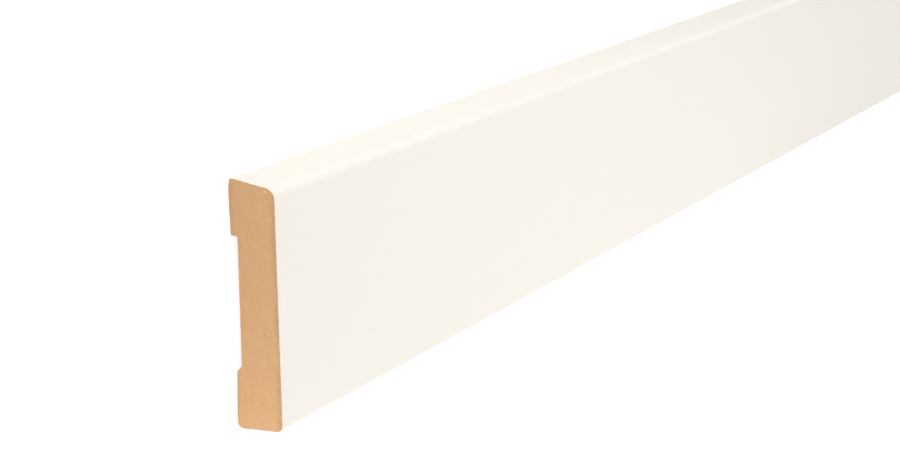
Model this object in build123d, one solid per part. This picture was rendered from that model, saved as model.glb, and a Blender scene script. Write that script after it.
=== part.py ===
"""Architrave: a door casing moulding, milled from one strip of fibreboard.

It lies on its back. X runs along the length, Y across the width from the inner edge, at the door,
to the outer edge, on the wall, and Z up from the back to the show face. The origin is the middle of
the box that the moulding fills, at the height of the back.

The section is a flat band whose two edges lean in towards the show face, the outer one more, with a
larger round on the show side of the outer edge and on the back of the inner one. A bevel, square to
the outer edge, takes off the back beside it. A wide shallow relief in the back leaves two pads, so
that the moulding sits down tight over uneven plaster. Each pad is flat near the moulding's edge and
eases away towards the relief. The outer pad ends in a square shoulder and the inner one in a slope,
and the relief is a little deeper at the outer one.
"""

from build123d import *

import os
from math import cos, radians, sin, tan

# Stock, in millimetres
LENGTH = 2100.0
WIDTH = 69.0
THICKNESS = 14.5

# How far each edge leans in towards the show face, in degrees
OUTER_EDGE_LEAN = 8.0
INNER_EDGE_LEAN = 4.0

# Radii of the four long corners
OUTER_SHOW_RADIUS = 3.0
INNER_SHOW_RADIUS = 1.8
OUTER_BACK_RADIUS = 0.75
INNER_BACK_RADIUS = 1.75

# Outer pad, as wide as from the moulding's edge to the relief. From the edge inwards it has a bevel,
# a flat, and a stretch that eases away by this angle in degrees.
OUTER_PAD_WIDTH = 15.5
OUTER_PAD_BEVEL = 3.0
OUTER_PAD_FLAT = 2.5
OUTER_PAD_EASE = 1.35
OUTER_SHOULDER_RADIUS = 0.35

# Inner pad, as wide as from the moulding's edge to its shoulder. It is flat up to this far from the
# edge, and then eases away by this angle in degrees, as far as a shoulder that leans by this one.
INNER_PAD_WIDTH = 16.1
INNER_PAD_FLAT = 4.0
INNER_PAD_EASE = 2.6
INNER_SHOULDER_LEAN = 45.0
INNER_SHOULDER_RADIUS = 0.75

# Back relief
OUTER_RELIEF_DEPTH = 2.35
INNER_RELIEF_DEPTH = 2.05
RELIEF_CORNER_RADIUS = 0.55

# The most of the relief's depth that one of its radii may take up
MOST_OF_DEPTH = 0.45


def slope(degrees):
    """How far a line that leans by this angle moves sideways for each millimetre forwards."""
    return tan(radians(degrees))


def rounding_loss(radius, lean, bevel=0):
    """How far rounding a back corner by this radius pulls in the widest point of its leaning edge.

    The back slopes away beside the corner by the bevel's angle."""
    lean, bevel = radians(lean), radians(bevel)
    return radius * ((cos(bevel) + sin(lean)) / cos(lean - bevel) - 1)


def section_corners():
    """The sharp corners of the section as (y, z), by name, in order round the outline."""
    back_outer = WIDTH / 2 + rounding_loss(OUTER_BACK_RADIUS, OUTER_EDGE_LEAN, OUTER_EDGE_LEAN)
    back_inner = -WIDTH / 2 - rounding_loss(INNER_BACK_RADIUS, INNER_EDGE_LEAN)

    bevel_end = WIDTH / 2 - OUTER_PAD_BEVEL
    bevel_rise = (back_outer - bevel_end) * slope(OUTER_EDGE_LEAN)
    outer_flat_end = bevel_end - OUTER_PAD_FLAT
    outer_pad_end = WIDTH / 2 - OUTER_PAD_WIDTH
    outer_eased = (outer_flat_end - outer_pad_end) * slope(OUTER_PAD_EASE)

    inner_flat_end = -WIDTH / 2 + INNER_PAD_FLAT
    inner_pad_end = -WIDTH / 2 + INNER_PAD_WIDTH
    inner_eased = (inner_pad_end - inner_flat_end) * slope(INNER_PAD_EASE)
    shoulder_run = (INNER_RELIEF_DEPTH - inner_eased) * slope(INNER_SHOULDER_LEAN)
    return {
        "back_inner": (back_inner, 0),
        "inner_flat_end": (inner_flat_end, 0),
        "inner_shoulder": (inner_pad_end, inner_eased),
        "relief_inner": (inner_pad_end + shoulder_run, INNER_RELIEF_DEPTH),
        "relief_outer": (outer_pad_end, OUTER_RELIEF_DEPTH),
        "outer_shoulder": (outer_pad_end, outer_eased),
        "outer_flat_end": (outer_flat_end, 0),
        "bevel_end": (bevel_end, 0),
        "back_outer": (back_outer, bevel_rise),
        "show_outer": (back_outer - (THICKNESS - bevel_rise) * slope(OUTER_EDGE_LEAN), THICKNESS),
        "show_inner": (back_inner + THICKNESS * slope(INNER_EDGE_LEAN), THICKNESS),
    }


def corner_radii():
    """The radius of each rounded corner of the section. The relief's are limited by its depth."""
    most = MOST_OF_DEPTH * min(OUTER_RELIEF_DEPTH, INNER_RELIEF_DEPTH)
    return {
        "back_inner": INNER_BACK_RADIUS,
        "inner_shoulder": min(INNER_SHOULDER_RADIUS, most),
        "relief_inner": min(RELIEF_CORNER_RADIUS, most),
        "relief_outer": min(RELIEF_CORNER_RADIUS, most),
        "outer_shoulder": min(OUTER_SHOULDER_RADIUS, most),
        "back_outer": OUTER_BACK_RADIUS,
        "show_outer": OUTER_SHOW_RADIUS,
        "show_inner": INNER_SHOW_RADIUS,
    }


def section():
    """The moulding's cross-section, as a face in the YZ plane."""
    corners = {name: Vector(0, y, z) for name, (y, z) in section_corners().items()}
    face = make_face(Polyline(*corners.values(), close=True))
    for name, radius in corner_radii().items():
        vertex = min(face.vertices(), key=lambda v: (Vector(v) - corners[name]).length)
        face = fillet(vertex, radius)
    return face


def architrave():
    """One length of the moulding, sawn square at both ends."""
    return extrude(section(), amount=LENGTH / 2, dir=(1, 0, 0), both=True)


os.makedirs("parts", exist_ok=True)
export_step(architrave(), "parts/architrave.step")
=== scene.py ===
"""The looks of one length of architrave: cream primer over fibreboard, sawn bare at both ends.

Lengths are in metres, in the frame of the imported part. X runs along the length, Y across the width
towards the outer edge, and Z up from the back to the show face. The near end is the one at low X.
"""

import random
from math import ceil, cos, exp, pi, radians, sin, tan

import bmesh
import bpy
from mathutils import Matrix, Vector, geometry, noise
from mathutils.kdtree import KDTree


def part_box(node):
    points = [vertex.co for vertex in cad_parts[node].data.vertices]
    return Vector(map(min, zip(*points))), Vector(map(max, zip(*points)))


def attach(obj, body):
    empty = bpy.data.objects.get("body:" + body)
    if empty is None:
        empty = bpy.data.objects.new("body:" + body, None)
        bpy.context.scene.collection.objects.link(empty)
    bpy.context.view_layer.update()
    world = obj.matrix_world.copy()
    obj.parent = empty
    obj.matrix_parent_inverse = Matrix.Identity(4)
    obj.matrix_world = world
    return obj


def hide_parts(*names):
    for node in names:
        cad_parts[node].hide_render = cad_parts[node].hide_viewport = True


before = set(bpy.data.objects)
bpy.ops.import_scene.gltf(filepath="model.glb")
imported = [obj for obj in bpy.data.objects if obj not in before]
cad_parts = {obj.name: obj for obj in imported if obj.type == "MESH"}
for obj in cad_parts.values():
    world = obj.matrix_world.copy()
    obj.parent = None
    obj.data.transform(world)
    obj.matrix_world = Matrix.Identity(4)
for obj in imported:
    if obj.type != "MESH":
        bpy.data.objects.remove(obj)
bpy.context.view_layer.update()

MM = 0.001
SEED = 7
NEAR, FAR = 0, 1

# The section. Length, width and thickness are the CAD part's, and the rest repeats its named sizes.
NODE = "architrave"
LOW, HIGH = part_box(NODE)
LENGTH, WIDTH, THICKNESS = HIGH - LOW
OUTER_EDGE_LEAN = radians(8)
INNER_EDGE_LEAN = radians(4)
OUTER_SHOW_RADIUS = 3 * MM
INNER_SHOW_RADIUS = 1.8 * MM
OUTER_BACK_RADIUS = 0.75 * MM
INNER_BACK_RADIUS = 1.75 * MM
OUTER_PAD_WIDTH = 15.5 * MM
OUTER_PAD_BEVEL = 3 * MM
OUTER_PAD_FLAT = 2.5 * MM
OUTER_PAD_EASE = radians(1.35)
OUTER_SHOULDER_RADIUS = 0.35 * MM
INNER_PAD_WIDTH = 16.1 * MM
INNER_PAD_FLAT = 4 * MM
INNER_PAD_EASE = radians(2.6)
INNER_SHOULDER_LEAN = radians(45)
INNER_SHOULDER_RADIUS = 0.75 * MM
OUTER_RELIEF_DEPTH = 2.35 * MM
INNER_RELIEF_DEPTH = 2.05 * MM
RELIEF_CORNER_RADIUS = 0.55 * MM

# How finely the section is drawn: the most that an arc turns in one step, and the longest step
ARC_STEP = radians(9)
SECTION_STEP = 0.4 * MM
# Distances of the rings near each end from it, and the longest step between rings elsewhere
END_RINGS = [0, 0.12 * MM, 0.35 * MM, 0.8 * MM, 1.8 * MM, 4 * MM, 10 * MM, 25 * MM, 60 * MM]
RING_STEP = 100 * MM

# The baked map holds the length as bands above each other, and the two sawn ends beside each other
# above them. The sizes and places are shares of the map's height and width.
BANDS = 4
BAND_BORDERS = [LENGTH * (i / BANDS - 0.5) for i in range(1, BANDS)]
BANDS_HEIGHT = 0.88
ENDS_BOTTOM = 0.885
ENDS_HEIGHT = 0.11
ENDS_LEFT = (0.01, 0.51)
ENDS_WIDTH = 0.48

# The sawn faces lie this far inside the CAD part's ends, which leaves room for torn fibres
END_INSET = 0.14 * MM
# How far apart the points of a sawn face lie, and how far each strays from its place in the grid
SAWN_STEP = 0.42 * MM
SAWN_STRAY = 0.12 * MM
# The sawn face's roughness: its depth, the width and height of its coarse and fine features, and
# how deep the fine ones are beside the coarse ones
FUZZ_DEPTH = 0.03 * MM
COARSE_FUZZ_SIZE = (1.1 * MM, 0.45 * MM)
FINE_FUZZ_SIZE = (0.4 * MM, 0.3 * MM)
FINE_FUZZ_SHARE = 0.6
# The saw's marks: their depth, their distance, and the slope by which they lean from upright
SAW_MARK_DEPTH = 0.008 * MM
SAW_MARK_PITCH = 1.3 * MM
SAW_MARK_LEAN = 0.02
# The chips along the sawn edges: their depth, width and height, and a bias that makes them common
CHIP_DEPTH = 0.09 * MM
CHIP_SIZE = (1.7 * MM, 1.7 * MM)
CHIP_BIAS = 0.1
# Each of these numbers gives a pattern of noise of its own
COARSE_FUZZ, FINE_FUZZ, CHIPS = 0, 3, 9

# How far the coat laps onto the back past the middle of each back corner, at least; how much
# further its ragged border reaches at most; and over what distance the coat thins out there
COAT_LAP = 1.2 * MM
COAT_RAG = 2 * MM
COAT_FADE = 0.8 * MM
# How deep the denser, darker board reaches under the show face and above the back
SHOW_CRUST = 2 * MM
BACK_CRUST = 1.6 * MM
# Depth of the primer's stipple, of the felted fibres on the back, and of the sawn face's grain
STIPPLE_DEPTH = 0.006 * MM
FELT_DEPTH = 0.05 * MM
GRAIN_DEPTH = 0.025 * MM

# Colours of the real surfaces, as linear light, and how rough the coat and the bare back are
PRIMER = (0.928, 0.879, 0.802)
SAWN_BOARD = (0.710, 0.424, 0.218)
BACK_BOARD = (0.560, 0.360, 0.205)
PALE_FIBRE = (0.880, 0.580, 0.330)
PRIMER_ROUGHNESS = 0.5
BACK_ROUGHNESS = 0.88


def rounding_loss(radius, lean, bevel=0):
    """How far rounding a back corner pulls in the widest point of its leaning edge."""
    return radius * ((cos(bevel) + sin(lean)) / cos(lean - bevel) - 1)


def section_corners():
    """Each corner of the section by name, in order round the outline: its place and its radius."""
    back_outer = WIDTH / 2 + rounding_loss(OUTER_BACK_RADIUS, OUTER_EDGE_LEAN, OUTER_EDGE_LEAN)
    back_inner = -WIDTH / 2 - rounding_loss(INNER_BACK_RADIUS, INNER_EDGE_LEAN)

    bevel_end = WIDTH / 2 - OUTER_PAD_BEVEL
    bevel_rise = (back_outer - bevel_end) * tan(OUTER_EDGE_LEAN)
    outer_flat_end = bevel_end - OUTER_PAD_FLAT
    outer_pad_end = WIDTH / 2 - OUTER_PAD_WIDTH
    outer_eased = (outer_flat_end - outer_pad_end) * tan(OUTER_PAD_EASE)

    inner_flat_end = -WIDTH / 2 + INNER_PAD_FLAT
    inner_pad_end = -WIDTH / 2 + INNER_PAD_WIDTH
    inner_eased = (inner_pad_end - inner_flat_end) * tan(INNER_PAD_EASE)
    relief_inner = inner_pad_end + (INNER_RELIEF_DEPTH - inner_eased) * tan(INNER_SHOULDER_LEAN)

    show_outer = back_outer - (THICKNESS - bevel_rise) * tan(OUTER_EDGE_LEAN)
    show_inner = back_inner + THICKNESS * tan(INNER_EDGE_LEAN)
    return {
        "back_inner": (Vector((back_inner, 0)), INNER_BACK_RADIUS),
        "inner_flat_end": (Vector((inner_flat_end, 0)), 0),
        "inner_shoulder": (Vector((inner_pad_end, inner_eased)), INNER_SHOULDER_RADIUS),
        "relief_inner": (Vector((relief_inner, INNER_RELIEF_DEPTH)), RELIEF_CORNER_RADIUS),
        "relief_outer": (Vector((outer_pad_end, OUTER_RELIEF_DEPTH)), RELIEF_CORNER_RADIUS),
        "outer_shoulder": (Vector((outer_pad_end, outer_eased)), OUTER_SHOULDER_RADIUS),
        "outer_flat_end": (Vector((outer_flat_end, 0)), 0),
        "bevel_end": (Vector((bevel_end, 0)), 0),
        "back_outer": (Vector((back_outer, bevel_rise)), OUTER_BACK_RADIUS),
        "show_outer": (Vector((show_outer, THICKNESS)), OUTER_SHOW_RADIUS),
        "show_inner": (Vector((show_inner, THICKNESS)), INNER_SHOW_RADIUS),
    }


def arc(corner, before, after, radius):
    """The points of the arc that rounds a corner.

    Before and after are unit vectors from the corner, back and on along the outline."""
    turn = pi - before.angle(after)
    start = corner + before * radius * tan(turn / 2)
    centre = corner + (before + after).normalized() * radius / cos(turn / 2)
    sense = -1 if before.x * after.y > before.y * after.x else 1
    steps = ceil(turn / ARC_STEP)
    turns = [sense * turn * i / steps for i in range(steps + 1)]
    return [centre + Matrix.Rotation(a, 2) @ (start - centre) for a in turns]


def section_outline():
    """The section as a closed list of points (y, z), from the inner edge's back corner."""
    corners = list(section_corners().values())
    rounded = []
    for i, (corner, radius) in enumerate(corners):
        before = (corners[i - 1][0] - corner).normalized()
        after = (corners[(i + 1) % len(corners)][0] - corner).normalized()
        rounded += arc(corner, before, after, radius) if radius else [corner]
    outline = []
    for here, there in zip(rounded, rounded[1:] + rounded[:1]):
        steps = ceil((there - here).length / SECTION_STEP)
        outline += [here.lerp(there, i / steps) for i in range(steps)]
    return outline


def girth_places(outline):
    """How far round the outline each point lies from the first, and then the whole way round."""
    places = [0]
    for here, there in zip(outline, outline[1:] + outline[:1]):
        places.append(places[-1] + (there - here).length)
    return places


def coat_reaches(outline):
    """How far round the outline each point lies from the middle of the nearer back corner's arc.

    It is above 0 on the edges and the show face, and below 0 on the back."""
    places = girth_places(outline)
    girth = places.pop()

    def place_nearest(name):
        corner, _ = section_corners()[name]
        return min(zip(outline, places), key=lambda both: (both[0] - corner).length)[1]

    start = place_nearest("back_outer")
    coated = (place_nearest("back_inner") - start) % girth
    reaches = []
    for place in places:
        on = (place - start) % girth
        if on < coated:
            reaches.append(min(on, coated - on))
        else:
            reaches.append(-min(on - coated, girth - on))
    return reaches


def spread(start, end, step):
    """Evenly spaced numbers from start up to end, which is left out, no further apart than step."""
    count = ceil((end - start) / step)
    return [start + (end - start) * i / count for i in range(count)]


def ring_places():
    """The X of each ring of the sides, from the near end to the far one."""
    end = LENGTH / 2 - END_INSET
    near = [-end + away for away in END_RINGS]
    stops = [near[-1], *BAND_BORDERS, -near[-1]]
    middle = [x for a, b in zip(stops, stops[1:]) for x in spread(a, b, RING_STEP)]
    return near[:-1] + middle + [-x for x in reversed(near)]


def fill_section(outline):
    """Triangles that fill the outline from a jittered grid.

    Gives the points, the outline's first and then the inner ones, and each face by its points'
    numbers. The grid keeps half a step away from the outline."""
    draw = random.Random(SEED)
    near = KDTree(len(outline))
    for i, (y, z) in enumerate(outline):
        near.insert((y, z, 0), i)
    near.balance()
    grid = []
    for y in spread(-WIDTH / 2, WIDTH / 2, SAWN_STEP):
        for z in spread(0, THICKNESS, SAWN_STEP):
            stray = Vector((draw.uniform(-1, 1), draw.uniform(-1, 1))) * SAWN_STRAY
            point = Vector((y, z)) + stray
            _, _, distance = near.find(point.to_3d())
            if distance > SAWN_STEP / 2:
                grid.append(point)
    edges = [(i, (i + 1) % len(outline)) for i in range(len(outline))]
    inside_only = 1
    tolerance = 1e-9
    _, _, faces, came_from, *_ = geometry.delaunay_2d_cdt(
        outline + grid, edges, [], inside_only, tolerance
    )
    # Grid points outside the outline are left out, so the others are numbered anew
    kept = {i: sources[0] for i, sources in enumerate(came_from) if sources}
    used = sorted({kept[i] for face in faces for i in face} - set(range(len(outline))))
    number = {old: len(outline) + new for new, old in enumerate(used)}
    number.update((i, i) for i in range(len(outline)))
    inner = [grid[old - len(outline)] for old in used]
    return outline + inner, [[number[kept[i]] for i in face] for face in faces]


# Small pits in the near end, where fibres have come out: place (y, z), radius and depth, in
# millimetres
PITS = [
    (17.9, 4.9, 0.3, 0.45),
    (0.5, 8.5, 0.4, 0.5),
    (-6.6, 9.1, 0.7, 0.35),
    (24.9, 13.2, 0.5, 0.4),
]


def rough(y, z, size, end, pattern):
    """Noise about 0 at this point of one end, with features of this width and height."""
    width, height = size
    return noise.noise(Vector((y / width, z / height, end * SEED + pattern)))


def sawn_depth(y, z, end):
    """How far into the board the sawn face lies at this point of one end, from its mean plane."""
    fuzz = rough(y, z, COARSE_FUZZ_SIZE, end, COARSE_FUZZ)
    fuzz += FINE_FUZZ_SHARE * rough(y, z, FINE_FUZZ_SIZE, end, FINE_FUZZ)
    saw_mark = sin(2 * pi * (y + SAW_MARK_LEAN * z) / SAW_MARK_PITCH)
    depth = FUZZ_DEPTH * fuzz + SAW_MARK_DEPTH * saw_mark
    for pit_y, pit_z, radius, pit_depth in PITS if end == NEAR else []:
        away = Vector((y / MM - pit_y, z / MM - pit_z)).length / radius
        depth += pit_depth * MM * exp(-(away**2))
    return depth


def chip(y, z, end):
    """How far the sawn edge is broken back at this point of the outline."""
    return CHIP_DEPTH * max(0, rough(y, z, CHIP_SIZE, end, CHIPS) + CHIP_BIAS)


def add_rings(bm, reach_layer, outline):
    """The points of the sides, as pairs of a ring's X and its points in order round the outline.

    Each point keeps its reach for the coat's border. The first and last ring are chipped."""
    reaches = coat_reaches(outline)
    middle = Vector((0, THICKNESS / 2))
    xs = ring_places()
    end_at = {xs[0]: NEAR, xs[-1]: FAR}
    rings = []
    for x in xs:
        ring = []
        for point, reach in zip(outline, reaches):
            broken = chip(*point, end_at[x]) if x in end_at else 0
            y, z = point + (middle - point).normalized() * broken
            # No rounding error may put a point below the back
            vert = bm.verts.new((x, y, max(z, 0)))
            vert[reach_layer] = reach
            ring.append(vert)
        rings.append((x, ring))
    return rings


def add_sides(bm, uv_layer, outline, rings):
    """The faces between the rings, unrolled into the bands of the baked map."""
    girths = girth_places(outline)
    for (x, here), (next_x, there) in zip(rings, rings[1:]):
        middle = (x + next_x) / 2
        band = int((middle / LENGTH + 0.5) * BANDS)
        along = [(a / LENGTH + 0.5) * BANDS - band for a in (x, x, next_x, next_x)]
        for i in range(len(outline)):
            j = (i + 1) % len(outline)
            face = bm.faces.new((here[i], here[j], there[j], there[i]))
            face.smooth = True
            round_it = [girths[i], girths[i + 1], girths[i + 1], girths[i]]
            for loop, u, v in zip(face.loops, along, round_it):
                loop[uv_layer].uv = u, (band + v / girths[-1]) * BANDS_HEIGHT / BANDS


def add_sawn_face(bm, uv_layer, end, x, ring, points, faces):
    """One rough sawn face inside this ring, with sharp edges and its own place in the baked map."""
    inward = 1 if end == NEAR else -1
    verts = list(ring)
    for y, z in points[len(ring):]:
        verts.append(bm.verts.new((x + inward * sawn_depth(y, z, end), y, z)))
    for numbers in faces:
        if end == NEAR:
            numbers = numbers[::-1]
        face = bm.faces.new([verts[i] for i in numbers])
        face.material_index = 1
        face.smooth = True
        for loop, i in zip(face.loops, numbers):
            y, z = points[i]
            loop[uv_layer].uv = (
                ENDS_LEFT[end] + (y / WIDTH + 0.5) * ENDS_WIDTH,
                ENDS_BOTTOM + z / THICKNESS * ENDS_HEIGHT,
            )
    for vert, after in zip(ring, ring[1:] + ring[:1]):
        bm.edges.get((vert, after)).smooth = False


def moulding_mesh():
    """The whole moulding as one closed mesh, with its sides in material 0 and sawn faces in 1."""
    outline = section_outline()
    points, faces = fill_section(outline)
    bm = bmesh.new()
    reach_layer = bm.verts.layers.float.new("coat_reach")
    uv_layer = bm.loops.layers.uv.new("OFBake")
    rings = add_rings(bm, reach_layer, outline)
    add_sides(bm, uv_layer, outline, rings)
    add_sawn_face(bm, uv_layer, NEAR, *rings[0], points, faces)
    add_sawn_face(bm, uv_layer, FAR, *rings[-1], points, faces)
    bmesh.ops.recalc_face_normals(bm, faces=bm.faces)
    mesh = bpy.data.meshes.new("moulding")
    bm.to_mesh(mesh)
    bm.free()
    return mesh


# The range of a noise texture's values that is stretched, and a wider one for less contrast
NOISE_RANGE = (0.3, 0.7)
WIDE_NOISE_RANGE = (0.25, 0.75)
# The Mix node's sockets for colours, by number: the share, the two colours, and the result
MIX_INPUTS = (0, 6, 7)
MIX_RESULT = 2


class Paint:
    """A material whose nodes are added one by one. Most methods give the socket to go on from."""

    def __init__(self, name):
        self.material = bpy.data.materials.new(name)
        self.material.use_nodes = True
        self.tree = self.material.node_tree
        self.shader = self.tree.nodes["Principled BSDF"]
        self.place = self.add("ShaderNodeTexCoord").outputs["Object"]

    def add(self, kind, settings=None, **inputs):
        """A node with these settings, and these values or sockets at its inputs."""
        node = self.tree.nodes.new(kind)
        for name, value in (settings or {}).items():
            setattr(node, name, value)
        for name, value in inputs.items():
            self.feed(node.inputs[name.replace("_", " ")], value)
        return node

    def feed(self, socket, value):
        if isinstance(value, bpy.types.NodeSocket):
            self.tree.links.new(value, socket)
        else:
            socket.default_value = value

    def give(self, **inputs):
        """Feeds the shader."""
        for name, value in inputs.items():
            self.feed(self.shader.inputs[name.replace("_", " ")], value)

    def noise(self, size, detail=2, roughness=0.5, turned=(0, 0, 0)):
        """Noise from 0 to 1 whose features are this large along X, Y and Z, in metres.

        The place is turned first, by these angles in radians."""
        scale = [1 / s for s in size]
        turn = self.add("ShaderNodeMapping", Vector=self.place, Rotation=turned)
        mapping = self.add("ShaderNodeMapping", Vector=turn.outputs[0], Scale=scale)
        texture = self.add(
            "ShaderNodeTexNoise",
            Vector=mapping.outputs[0],
            Scale=1,
            Detail=detail,
            Roughness=roughness,
        )
        return texture.outputs[0]

    def attribute(self, name):
        return self.add("ShaderNodeAttribute", {"attribute_name": name}).outputs["Fac"]

    def height(self):
        """The Z of each point, in metres."""
        return self.add("ShaderNodeSeparateXYZ", Vector=self.place).outputs["Z"]

    def math(self, operation, first, second):
        node = self.add("ShaderNodeMath", {"operation": operation})
        self.feed(node.inputs[0], first)
        self.feed(node.inputs[1], second)
        return node.outputs[0]

    def product(self, first, *others):
        """Numbers multiplied together."""
        for other in others:
            first = self.math("MULTIPLY", first, other)
        return first

    def span(self, value, low, high, to_low=0, to_high=1):
        """A smooth step from to_low to to_high, while the value goes from low to high."""
        node = self.add(
            "ShaderNodeMapRange",
            {"interpolation_type": "SMOOTHSTEP"},
            Value=value,
            From_Min=low,
            From_Max=high,
            To_Min=to_low,
            To_Max=to_high,
        )
        return node.outputs[0]

    def vary(self, texture, least, most, usual=NOISE_RANGE):
        """A texture whose usual range is stretched smoothly to go from least to most."""
        return self.span(texture, *usual, least, most)

    def mix(self, share, first, second):
        """A colour between two others."""
        node = self.add("ShaderNodeMix", {"data_type": "RGBA"})
        for number, value in zip(MIX_INPUTS, (share, first, second)):
            self.feed(node.inputs[number], value)
        return node.outputs[MIX_RESULT]

    def tone(self, colour, amount):
        """The colour times a number."""
        node = self.add("ShaderNodeVectorMath", {"operation": "SCALE"})
        self.feed(node.inputs[0], colour)
        self.feed(node.inputs["Scale"], amount)
        return node.outputs[0]

    def bump(self, height, depth, under=None):
        """A normal for a height from 0 to 1 that stands for this depth in metres."""
        node = self.add("ShaderNodeBump", Height=height, Distance=depth)
        if under is not None:
            self.feed(node.inputs["Normal"], under)
        return node.outputs[0]


def rgba(colour):
    return (*colour, 1)


def primed_sides():
    """Sprayed primer with a fine stipple, and bare milled board on the back where the coat ends."""
    paint = Paint("primed_sides")
    ragged = paint.noise((9 * MM, 3 * MM, 3 * MM), detail=5, roughness=0.7)
    lap = paint.vary(ragged, COAT_LAP, COAT_LAP + COAT_RAG)
    reach = paint.math("ADD", paint.attribute("coat_reach"), lap)
    coat = paint.span(reach, 0, COAT_FADE)

    cloud = paint.noise((240 * MM, 40 * MM, 40 * MM), detail=3)
    mottle = paint.noise((7 * MM, 5 * MM, 5 * MM), detail=4)
    shade = paint.math("ADD", paint.vary(cloud, 0.992, 1.004), paint.vary(mottle, -0.004, 0.004))
    primer = paint.tone(PRIMER, shade)

    # The fibres lie in two layers that cross
    fibre_size = (2.6 * MM, 0.5 * MM, 0.5 * MM)
    fibre = paint.noise(fibre_size, detail=5, roughness=0.65, turned=(0, 0, 0.5))
    across = paint.noise(fibre_size, detail=5, roughness=0.65, turned=(0, 0, -0.9))
    felt = paint.math("ADD", paint.product(fibre, 0.5), paint.product(across, 0.5))
    streak = paint.noise((160 * MM, 1.1 * MM, 1.1 * MM), detail=3)
    board_tone = paint.product(paint.vary(felt, 0.88, 1.1), paint.vary(streak, 0.94, 1.05))
    board = paint.tone(BACK_BOARD, board_tone)

    roughness = paint.span(coat, 0, 1, BACK_ROUGHNESS, PRIMER_ROUGHNESS)
    stipple = paint.bump(paint.noise((1.5 * MM, 1.1 * MM, 1.1 * MM), detail=3), STIPPLE_DEPTH)
    felt_depth = paint.span(coat, 0, 1, FELT_DEPTH, 0)
    paint.give(
        Base_Color=paint.mix(coat, board, primer),
        Roughness=paint.math("ADD", roughness, paint.vary(mottle, -0.03, 0.03)),
        Specular_IOR_Level=0.35,
        Normal=paint.bump(felt, felt_depth, under=stipple),
    )
    return paint.material


def sawn_board():
    """Sawn fibreboard: fine felted fibres, denser and darker under the faces that were pressed."""
    paint = Paint("sawn_board")
    blotch = paint.noise((6 * MM, 6 * MM, 3 * MM))
    felt = paint.noise((1 * MM, 1.5 * MM, 0.42 * MM), detail=5, roughness=0.7)
    grain = paint.noise((0.3 * MM, 0.3 * MM, 0.22 * MM), detail=3, roughness=0.6)
    wander = paint.vary(paint.noise((4 * MM, 5 * MM, 4 * MM)), -0.5 * MM, 0.5 * MM)
    height = paint.math("ADD", paint.height(), wander)
    tone = paint.product(
        paint.vary(blotch, 0.98, 1.02),
        paint.vary(felt, 0.965, 1.035, WIDE_NOISE_RANGE),
        paint.vary(grain, 0.98, 1.02, WIDE_NOISE_RANGE),
        paint.span(height, THICKNESS - SHOW_CRUST, THICKNESS, 1, 0.87),
        paint.span(height, 0, BACK_CRUST, 0.92, 1),
    )
    board = paint.tone(SAWN_BOARD, tone)
    # Here and there a paler strand, where this noise peaks
    strands = paint.noise((1 * MM, 1.9 * MM, 0.3 * MM), detail=1, turned=(0.35, 0, 0))
    paleness = paint.span(strands, 0.72, 0.78, 0, 0.4)
    paint.give(
        Base_Color=paint.mix(paleness, board, rgba(PALE_FIBRE)),
        Roughness=0.9,
        Specular_IOR_Level=0.25,
        Normal=paint.bump(paint.math("ADD", felt, grain), GRAIN_DEPTH),
    )
    return paint.material


def loose_fibre():
    """Pale wood fibre that the saw has torn up."""
    paint = Paint("loose_fibre")
    grain = paint.noise((0.3 * MM, 0.3 * MM, 0.3 * MM))
    paint.give(
        Base_Color=paint.tone(PALE_FIBRE, paint.vary(grain, 0.9, 1.05)),
        Roughness=0.85,
        Specular_IOR_Level=0.25,
    )
    return paint.material


# Fibres that show on the near end: place (y, z), heading, length, thickness and how far the middle
# bends aside, in millimetres and degrees. Heading 0 runs along the width.
SEEN_FIBRES = [
    (31.9, 11.5, 25, 1.1, 0.8, 0.1),
    (32.7, 10.4, 120, 0.5, 0.25, 0),
    (24.8, 9.4, 90, 0.55, 0.25, 0),
    (22.3, 10.3, 60, 0.6, 0.12, 0),
    (21.0, 7.4, 20, 0.7, 0.12, 0),
    (17.4, 5.0, 90, 0.5, 0.22, 0),
    (13.1, 4.8, 0, 0.75, 0.5, 0),
    (3.0, 6.9, 120, 0.8, 0.12, 0),
    (0.8, 7.9, 40, 1.0, 0.35, -0.15),
    (-4.8, 11.9, 74, 1.8, 0.2, 0.1),
    (-6.7, 10.7, -18, 1.4, 0.2, 0.1),
    (-7.7, 13.2, 60, 1.0, 0.35, 0),
    (-6.2, 14.1, 90, 0.7, 0.3, 0),
    (-9.5, 13.8, 90, 0.8, 0.3, 0),
    (-29.3, 7.1, 129, 1.7, 0.22, -0.55),
]
# How many more are strewn over each end, and the range of each one's place as shares of the width
# and the thickness, of its heading, length and thickness, and of its bend as a share of its length
STREWN_FIBRES = 14
STREWN_ACROSS = (-0.45, 0.45)
STREWN_UP = (0.22, 0.92)
STREWN_HEADING = (0, 180)
STREWN_LENGTH = (0.35, 1.1)
STREWN_THICKNESS = (0.06, 0.12)
STREWN_BEND = (-0.3, 0.3)
# How a fibre is drawn: points round it and rings along it, its tips' share of the thickness, the
# power by which it swells from there, and the most that it rises from the sawn face
FIBRE_SIDES = 6
FIBRE_RINGS = 7
FIBRE_TIP = 0.15
FIBRE_SWELL = 0.6
FIBRE_RISE = 0.9 * END_INSET


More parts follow.
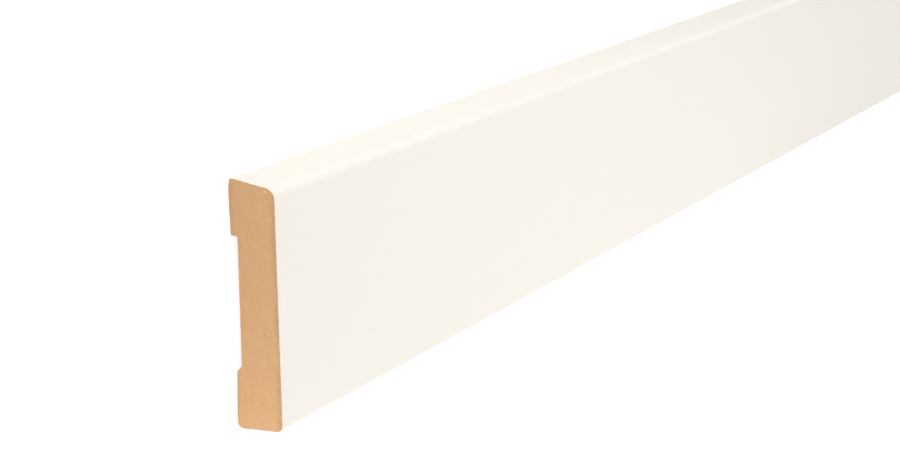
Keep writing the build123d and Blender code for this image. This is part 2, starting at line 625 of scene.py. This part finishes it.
def add_fibre(bm, end, y, z, heading, length, thickness, bend):
    """A closed, bent, tapered fibre that lies on one end's sawn face, half sunk in it.

    The sizes are in millimetres and the heading is in degrees."""
    out = 1 if end == FAR else -1
    middle = Vector((out * (LENGTH / 2 - END_INSET), y * MM, z * MM))
    along = Vector((0, cos(radians(heading)), sin(radians(heading))))
    side = Vector((0, -along.z, along.y))
    length, thickness, bend = length * MM, thickness * MM, bend * MM
    rings = []
    for i in range(FIBRE_RINGS):
        share = i / (FIBRE_RINGS - 1)
        centre = middle + along * length * (share - 0.5) + side * bend * (1 - (2 * share - 1) ** 2)
        radius = thickness / 2 * (FIBRE_TIP + (1 - FIBRE_TIP) * sin(pi * share) ** FIBRE_SWELL)
        lift = min(radius, FIBRE_RISE)
        ring = []
        for k in range(FIBRE_SIDES):
            turn = 2 * pi * k / FIBRE_SIDES
            aside = side * radius * cos(turn)
            rise = Vector((out * lift * sin(turn), 0, 0))
            ring.append(bm.verts.new(centre + aside + rise))
        rings.append(ring)
    for here, there in zip(rings, rings[1:]):
        for k in range(FIBRE_SIDES):
            m = (k + 1) % FIBRE_SIDES
            bm.faces.new((here[k], here[m], there[m], there[k])).smooth = True
    bm.faces.new(rings[0][::-1])
    bm.faces.new(rings[-1])


def fibre_mesh():
    """The loose fibres of both sawn ends, joined in one mesh."""
    draw = random.Random(SEED)
    bm = bmesh.new()
    for fibre in SEEN_FIBRES:
        add_fibre(bm, NEAR, *fibre)
    for end in (NEAR, FAR):
        for _ in range(STREWN_FIBRES):
            y = draw.uniform(*STREWN_ACROSS) * WIDTH / MM
            z = draw.uniform(*STREWN_UP) * THICKNESS / MM
            length = draw.uniform(*STREWN_LENGTH)
            thickness = draw.uniform(*STREWN_THICKNESS)
            bend = draw.uniform(*STREWN_BEND) * length
            heading = draw.uniform(*STREWN_HEADING)
            add_fibre(bm, end, y, z, heading, length, thickness, bend)
    bmesh.ops.recalc_face_normals(bm, faces=bm.faces)
    mesh = bpy.data.meshes.new("torn_fibres")
    bm.to_mesh(mesh)
    bm.free()
    return mesh


def in_scene(name, data):
    """An object of this name that holds this data, in the scene."""
    thing = bpy.data.objects.new(name, data)
    bpy.context.collection.objects.link(thing)
    return thing


def show(name, mesh, *materials):
    """An object for this mesh, in the scene."""
    for material in materials:
        mesh.materials.append(material)
    return in_scene(name, mesh)


# The camera, where the photograph's was. It looks down at the near end, turned on its side.
CAMERA_PLACE = Vector((-1469.29, 151.71, 303.75)) * MM
CAMERA_AIM = Vector((-958.13, 2.3, 14.57)) * MM
CAMERA_UP = Vector((0.2217, 0.9690, -0.1088))
CAMERA_LENS = 80.89
SENSOR_WIDTH = 36


def facing(place, aim, up):
    """The matrix of something that stands at place and looks at aim, with its top towards up."""
    back = (place - aim).normalized()
    right = up.cross(back).normalized()
    turn = Matrix((right, back.cross(right), back)).transposed()
    return Matrix.Translation(place) @ turn.to_4x4()


def set_camera():
    lens = bpy.data.cameras.new("camera")
    lens.sensor_width = SENSOR_WIDTH
    lens.lens = CAMERA_LENS
    lens.clip_start = 10 * MM
    camera = in_scene("camera", lens)
    camera.matrix_world = facing(CAMERA_PLACE, CAMERA_AIM, CAMERA_UP)
    bpy.context.scene.camera = camera


def seen_or_lit(tree, seen, lit):
    """A shader that is one thing where it is seen, straight or in gloss or glass, else another."""
    path = tree.nodes.new("ShaderNodeLightPath")
    rays = [path.outputs[f"Is {kind} Ray"] for kind in ("Camera", "Glossy", "Transmission")]
    share = rays[0]
    for ray in rays[1:]:
        most = tree.nodes.new("ShaderNodeMath")
        most.operation = "MAXIMUM"
        tree.links.new(share, most.inputs[0])
        tree.links.new(ray, most.inputs[1])
        share = most.outputs[0]
    mix = tree.nodes.new("ShaderNodeMixShader")
    for socket, source in zip(mix.inputs, (share, lit, seen)):
        tree.links.new(source, socket)
    return mix.outputs[0]


# The floor's own share of white where it is seen, and how much of the light it shows on top
FLOOR_GLOW = 0.86
FLOOR_SHOWS = 0.4
# How much light the floor throws back at the object, and how much comes from all round
FLOOR_BOUNCE = 0.8
AMBIENT = 0.47
FLOOR_SIZE = 60


def grey(level):
    return rgba((level, level, level))


def set_floor():
    """A white floor that still shows the object's shadow."""
    bm = bmesh.new()
    bmesh.ops.create_grid(bm, size=FLOOR_SIZE / 2)
    mesh = bpy.data.meshes.new("floor")
    bm.to_mesh(mesh)
    bm.free()
    material = bpy.data.materials.new("floor")
    material.use_nodes = True
    tree = material.node_tree
    tree.nodes.clear()
    glow = tree.nodes.new("ShaderNodeEmission")
    glow.inputs["Color"].default_value = grey(1)
    glow.inputs["Strength"].default_value = FLOOR_GLOW
    shown = tree.nodes.new("ShaderNodeBsdfDiffuse")
    shown.inputs["Color"].default_value = grey(FLOOR_SHOWS)
    both = tree.nodes.new("ShaderNodeAddShader")
    tree.links.new(glow.outputs[0], both.inputs[0])
    tree.links.new(shown.outputs[0], both.inputs[1])
    bounce = tree.nodes.new("ShaderNodeBsdfDiffuse")
    bounce.inputs["Color"].default_value = grey(FLOOR_BOUNCE)
    out = tree.nodes.new("ShaderNodeOutputMaterial")
    tree.links.new(seen_or_lit(tree, both.outputs[0], bounce.outputs[0]), out.inputs["Surface"])
    show("floor", mesh, material)


def set_world():
    """Even soft light from all round, seen as plain white."""
    world = bpy.data.worlds.new("studio")
    world.use_nodes = True
    tree = world.node_tree
    tree.nodes.clear()
    seen, lit = (tree.nodes.new("ShaderNodeBackground") for _ in range(2))
    seen.inputs["Color"].default_value = grey(1)
    lit.inputs["Color"].default_value = grey(AMBIENT)
    out = tree.nodes.new("ShaderNodeOutputWorld")
    tree.links.new(seen_or_lit(tree, seen.outputs[0], lit.outputs[0]), out.inputs["Surface"])
    bpy.context.scene.world = world


# The softboxes about the far end: name, place, aim, size and strength. The near end has the same
# ones mirrored. "Over" and "past" look along the length, at the other end.
END_LAMPS = [
    ("before", (1.13, -0.14, 0.03), (1.05, -0.035, 0.007), 0.06, 8.2),
    ("inner_side", (0.8, -0.3, 0.16), (0.8, 0, 0), 0.3, 0.95),
    ("outer_side", (1.0, 0.4, 0.09), (0.9, 0, 0), 0.16, 1.6),
    ("over", (0.9, 0.6, 0.8), (-0.8, 0, 0), 0.7, 0.4),
    ("past", (1.3, 0.5, 0.5), (-0.8, 0, 0), 0.6, 3.15),
    ("over_inner_edge_1", (0.95, -0.08, 0.2), (0.95, -0.05, 0.0145), 0.15, 0.54),
    ("over_inner_edge_2", (0.75, -0.08, 0.2), (0.75, -0.05, 0.0145), 0.15, 0.54),
    ("over_inner_edge_3", (0.35, -0.08, 0.2), (0.35, -0.05, 0.0145), 0.15, 0.54),
]
# The softboxes about the middle
MIDDLE_LAMPS = [
    ("over", (0, -0.15, 0.8), (0, 0, 0), 0.6, 0.7),
    ("inner_side", (0, -0.6, 0.25), (0, 0, 0), 0.5, 1.3),
    ("outer_side", (0, 0.6, 0.25), (0, 0, 0), 0.5, 0.9),
]


def softbox(name, place, aim, size, strength):
    """A square area lamp. The strength is its radiance, where 1 is white."""
    lamp = bpy.data.lights.new(name, "AREA")
    lamp.size = size
    lamp.energy = strength * pi * size**2
    lamp_object = in_scene(name, lamp)
    lamp_object.matrix_world = facing(place, aim, Vector((0, 0, 1)))
    lamp_object.visible_camera = False


def set_lamps():
    """The same softboxes about each end, and a few about the middle."""
    for end, out in (("near", -1), ("far", 1)):
        flip = Vector((out, 1, 1))
        for name, place, aim, size, strength in END_LAMPS:
            softbox(f"{name}_{end}_end", flip * Vector(place), flip * Vector(aim), size, strength)
    for name, place, aim, size, strength in MIDDLE_LAMPS:
        softbox(f"{name}_middle", Vector(place), Vector(aim), size, strength)


set_camera()
set_world()
set_floor()
set_lamps()

moulding = show("moulding", moulding_mesh(), primed_sides(), sawn_board())
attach(moulding, "root")
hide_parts(NODE)

torn_fibres = show("torn_fibres", fibre_mesh(), loose_fibre())
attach(torn_fibres, "root")

bpy.context.scene.view_settings.view_transform = "Standard"
